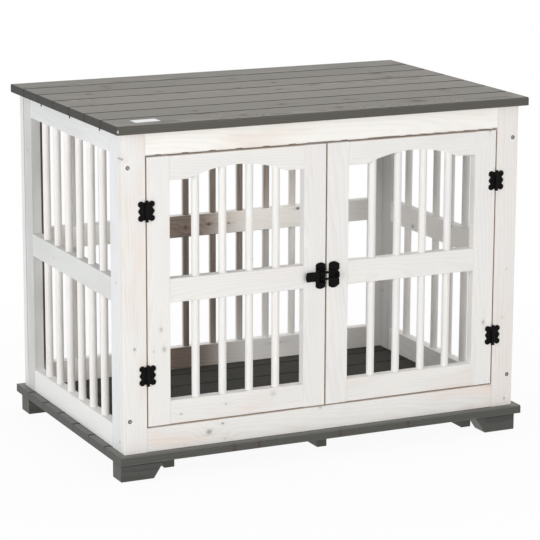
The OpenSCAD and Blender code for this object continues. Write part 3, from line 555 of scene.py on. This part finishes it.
TOP_KNOTS = {
    "top_middle_boards": [(-269, 181, 6, 0.8), (-272, 154, 5, 0.9), (-334, 97, 5, 0.8), (-195, 72, 5, 0.6),
                          (-34, 53, 4, 0.6), (4, 170, 6, 0.6), (60, 91, 5, 0.8), (29, 2, 5, 0.8),
                          (-45, -168, 6, 0.8), (-228, -173, 5, 0.8), (-375, -22, 4, 0.5), (320, -134, 6, 0.8),
                          (321, -157, 4, 0.6), (304, 114, 8, 0.7), (305, 61, 7, 0.8), (96, -163, 5, 0.8),
                          (105, -176, 4, 0.6)],
    "top_front_board": [(-227, -207, 7, 0.9), (-167, -257, 6, 0.6), (209, -236, 11, 0.8), (37, -246, 5, 0.9)],
}
TOP_KNOT_SPREAD = 1.8    # the stain runs this much further out round the top's knots
TOP_CHIPS = {"top_front_board": (-427.5, SLAB_FRONT, 661)}
# The top boards' front faces get painted shade.
for number, node in enumerate(("top_front_board", "top_middle_boards", "top_back_board")):
    knots = [(along, across, TOP_KNOT_SPREAD * radius, strength)
             for along, across, radius, strength in TOP_KNOTS.get(node, ())]
    coat_node(node, stained("grey_stain_boards_%d" % number, node, 91 + number, (123, 119, 111), (91, 87, 80),
                            [(110, 106, 99), (142, 135, 125)], slab_cell, knots=knots, scatter=0.15, seams=True,
                            ends=(24, 25, 20), worn=0.3, chip=TOP_CHIPS.get(node), front=0.5, gloss=0.2))

# The label is thin sheet with rounded corners, half sunk into the board's face, and lies a little askew.
LABEL_SIZE = (0.05, 0.028, 0.00006)
label_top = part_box("top_front_board")[1].z
label = bmesh.new()
bmesh.ops.create_cube(label, size=1.0, matrix=Matrix.Translation((-0.355, -0.2395, label_top))
                      @ Matrix.Rotation(math.radians(2), 4, "Z") @ Matrix.Diagonal((*LABEL_SIZE, 1)))
upright = [e for e in label.edges if abs(e.verts[0].co.z - e.verts[1].co.z) > LABEL_SIZE[2] / 2]
bmesh.ops.bevel(label, geom=upright, offset=0.002, segments=4, profile=0.5, material=-1, affect="EDGES")
f = Finish("bare_label")
x, y, z = f.place()
speck = f.noise(f.point(x / 4.0, y / 4.0, z), 3.0)
f.surface(f.node("BsdfPrincipled", None, {"Base Color": f.mix(speck, srgb(246, 246, 246), srgb(232, 232, 230)),
                                          "Roughness": 0.3 + 0.1 * speck}))
piece("bare_label", label, "root", f)


# ---- Hinges and latch
# Stamped sheet iron, painted black: butterfly hinges whose leaves end in two lobes and a point, and a toggle
# latch whose lever draws a wire loop into the hook of the catch.

def black_iron(name):
    """Black paint on stamped iron, fine-grained and a little cloudy."""
    f = Finish(name)
    x, y, z = f.place()
    grain = f.noise(f.point(x / 0.9, y / 0.9, z / 0.9), 4.0, 0.6)
    cloud = f.noise(f.point(x / 9.0, y / 9.0, z / 9.0), 3.0)
    f.surface(f.node("BsdfPrincipled", None, {
        "Base Color": f.mix(cloud, srgb(5, 5, 5), srgb(9, 9, 8)),
        "Roughness": 0.4 + 0.3 * cloud, "Specular IOR Level": 0.09,
        "Normal": f.node("Bump", None, {"Strength": 0.4, "Distance": 0.0001, "Height": grain}),
    }))
    return f


iron = black_iron("black_iron")
for node in ("left_hinge_frame_leaves", "left_hinge_door_leaves", "right_hinge_frame_leaves", "right_hinge_door_leaves",
             "hinge_pins", "latch_plate", "latch_lever", "latch_rivets", "latch_catch",
             "hinge_frame_screws", "left_door_screws", "right_door_screws"):
    coat_node(node, iron)


def run_on(mesh, cap, step):
    """Draws the wire on from its end face: straight along a vector, or by an angle round the centre of a bend."""
    if len(step) == 3:
        grown = bmesh.ops.extrude_face_region(mesh, geom=[cap])["geom"]
        bmesh.ops.translate(mesh, vec=step, verts=[v for v in grown if isinstance(v, bmesh.types.BMVert)])
    else:
        grown = bmesh.ops.spin(mesh, geom=[cap], cent=step[0], axis=(0, 1, 0), angle=step[1], steps=10)["geom_last"]
    return next(g for g in grown if isinstance(g, bmesh.types.BMFace))


# The loop is one bent wire round a thinner rod that turns in the lever's walls.
loop_low, loop_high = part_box("latch_loop")
bow_low, bow_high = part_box("latch_bow")
wire_y, wire_z = (loop_low.y + loop_high.y) / 2, (loop_low.z + loop_high.z) / 2
wire_r = (bow_high.y - bow_low.y) / 2
rod_x, rod_r = loop_low.x + wire_r, 0.0013
arm_z = (bow_high.z - bow_low.z) / 2 - wire_r
bend_r = 0.004
bend_x = bow_high.x - wire_r - bend_r
wire = bmesh.new()
start = Matrix.Translation((rod_x, wire_y, wire_z + arm_z)) @ Matrix.Rotation(math.pi / 2, 4, "Y")
bmesh.ops.create_circle(wire, cap_ends=True, radius=wire_r, segments=24, matrix=start)
cap = wire.faces[:][0]
for step in ((bend_x - rod_x, 0, 0), ((bend_x, wire_y, wire_z + arm_z - bend_r), math.pi / 2),
             (0, 0, 2 * (bend_r - arm_z)), ((bend_x, wire_y, wire_z - arm_z + bend_r), math.pi / 2),
             (rod_x - bend_x, 0, 0)):
    cap = run_on(wire, cap, step)
for turn in (-1, 1):
    bmesh.ops.create_uvsphere(wire, u_segments=24, v_segments=12, radius=wire_r,
                              matrix=Matrix.Translation((rod_x, wire_y, wire_z + turn * arm_z)))
bmesh.ops.create_cone(wire, cap_ends=True, segments=24, radius1=rod_r, radius2=rod_r,
                      depth=loop_high.z - loop_low.z, matrix=Matrix.Translation((rod_x, wire_y, wire_z)))
bmesh.ops.recalc_face_normals(wire, faces=wire.faces)
for face in wire.faces:
    face.smooth = len(face.verts) < 5
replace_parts(piece("wire_loop", wire, "latch_loop", iron), "latch_loop", "latch_bow")


# ---- Zinc screws
# Long countersunk screws through the posts, slanted ones under the top, and the base's screws from below.

# Millimetres: the frame screws' places from the cage's middle, and from the middle of the posts.
FRAME_SCREW_X, FRAME_SCREW_Z = 402.0, 238.0
POST_MIDDLE_Z = 353.0
# Painted shade in the countersink round the head where a screw is seen, and all over where it sits in its dark pocket.
for node, rim_shade, dark in (("frame_screws", 0.85, 0.0), ("base_screws", 0.0, 0.0), ("top_screws", 0.0, 0.8)):
    f = Finish("zinc_" + node)
    x, y, z = f.place()
    bloom = f.noise(f.point(x / 1.6, y / 1.6, z / 1.6), 3.0)
    aside = f.maths("ABSOLUTE", x) - FRAME_SCREW_X
    above = f.maths("ABSOLUTE", z - POST_MIDDLE_Z) - FRAME_SCREW_Z
    rim = f.rise(f.maths("SQRT", aside * aside + above * above), 2.0, 2.9)
    colour = f.mix(bloom, srgb(176, 180, 184), srgb(128, 132, 138))
    f.surface(f.node("BsdfPrincipled", None, {
        "Base Color": f.mix(f.maths("MAXIMUM", rim_shade * rim, dark), colour, srgb(44, 42, 38)),
        "Metallic": 1.0, "Roughness": 0.28 + 0.25 * bloom,
    }))
    coat_node(node, f)
